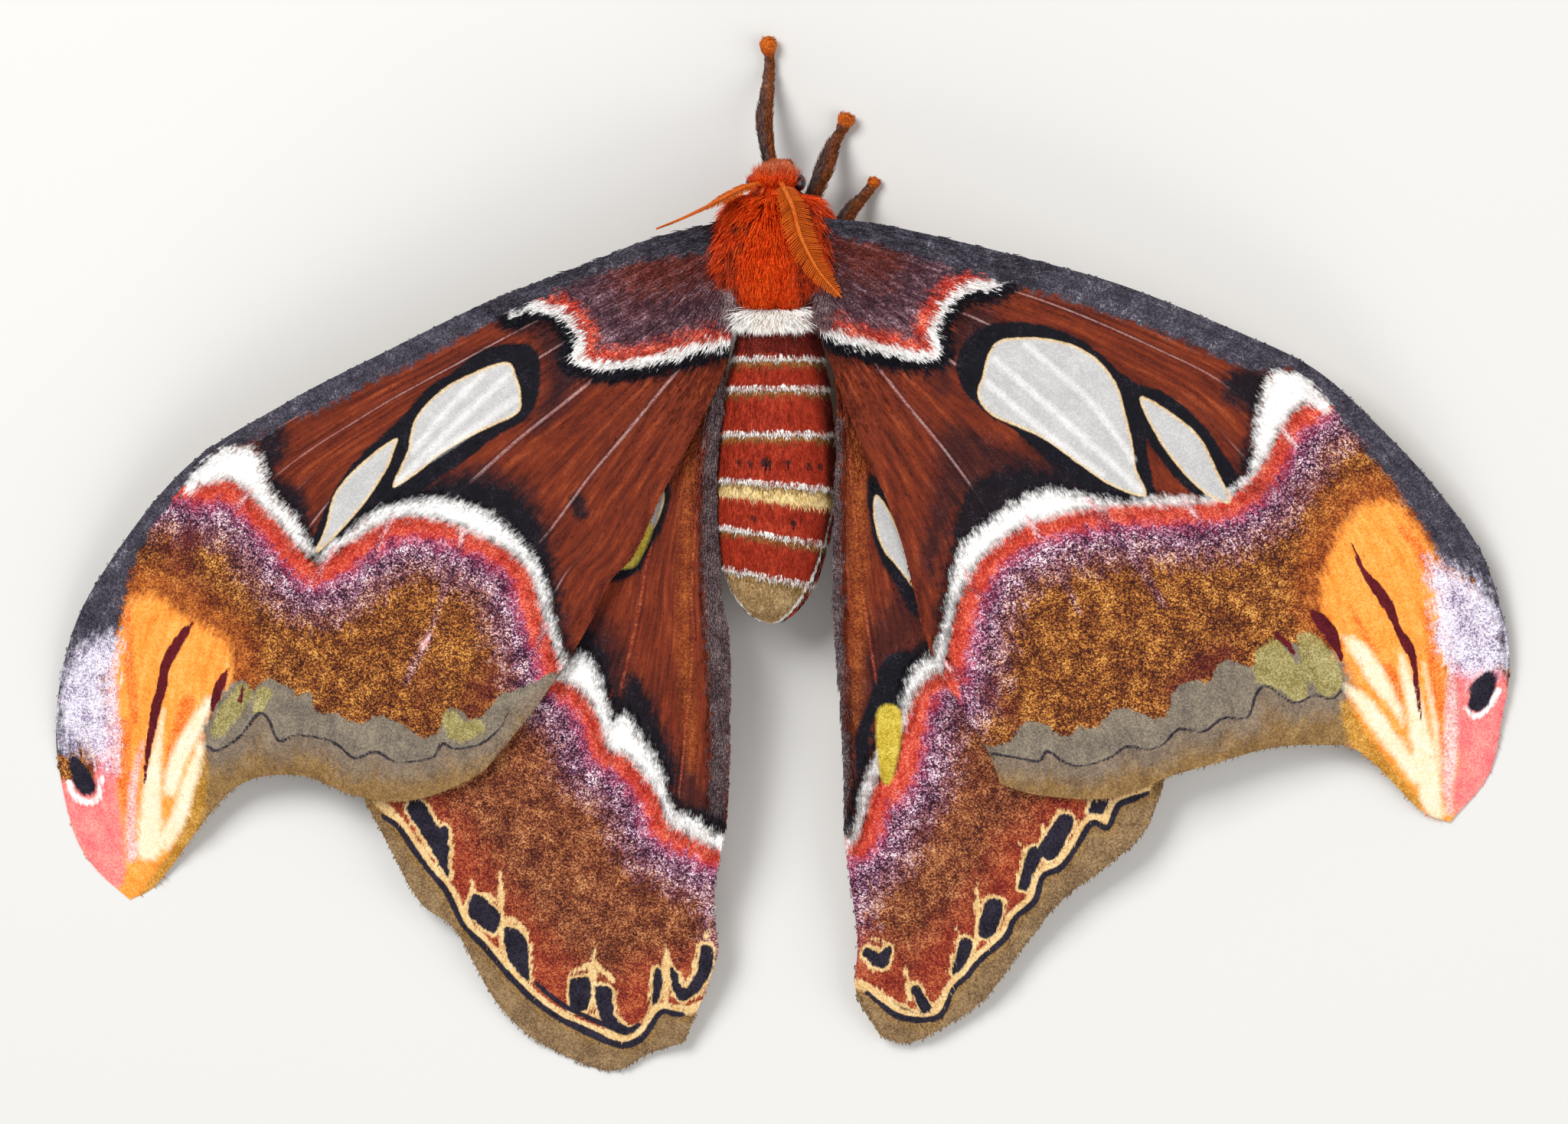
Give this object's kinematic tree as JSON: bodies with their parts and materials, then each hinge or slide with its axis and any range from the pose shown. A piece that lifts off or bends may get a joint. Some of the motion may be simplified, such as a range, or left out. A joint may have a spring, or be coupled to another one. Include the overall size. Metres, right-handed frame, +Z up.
{
  "type": "atlas moth",
  "caption": "Life-size female atlas moth at rest with its wings spread flat, feathery feelers, furry thorax, banded abdomen and standing legs.",
  "frame": {"origin": "the middle of the whole part's outline, on the floor that it stands on", "axes": "+Z up, away from the floor; +Y towards the head; +X towards the moth's right forewing tip"},
  "size_m": [0.1964, 0.1368, 0.0213],
  "materials": {
    "fur_orange": "soft orange-red hair in overlapping locks",
    "abdomen_red": "short velvety red hair with white hairy rings",
    "wing_rust": "matt powdery wing scales on a thin stiff membrane",
    "feeler_orange": "dry orange chitin with fine combs",
    "leg_brown": "brown and grey-mauve hair over chitin",
    "eye_black": "glossy black compound eye"
  },
  "bodies": {
    "root": {"head": "fur_orange", "thorax": "fur_orange", "palp_left": "fur_orange", "palp_right": "fur_orange", "abdomen": "abdomen_red", "eye_left": "eye_black", "eye_right": "eye_black", "antenna_left": "feeler_orange", "antenna_right": "feeler_orange", "forewing_left": "wing_rust", "forewing_right": "wing_rust", "hindwing_left": "wing_rust", "hindwing_right": "wing_rust", "leg_fore_left": "leg_brown", "leg_fore_right": "leg_brown", "leg_mid_left": "leg_brown", "leg_mid_right": "leg_brown", "leg_hind_left": "leg_brown", "leg_hind_right": "leg_brown"}
  },
  "joints": []
}
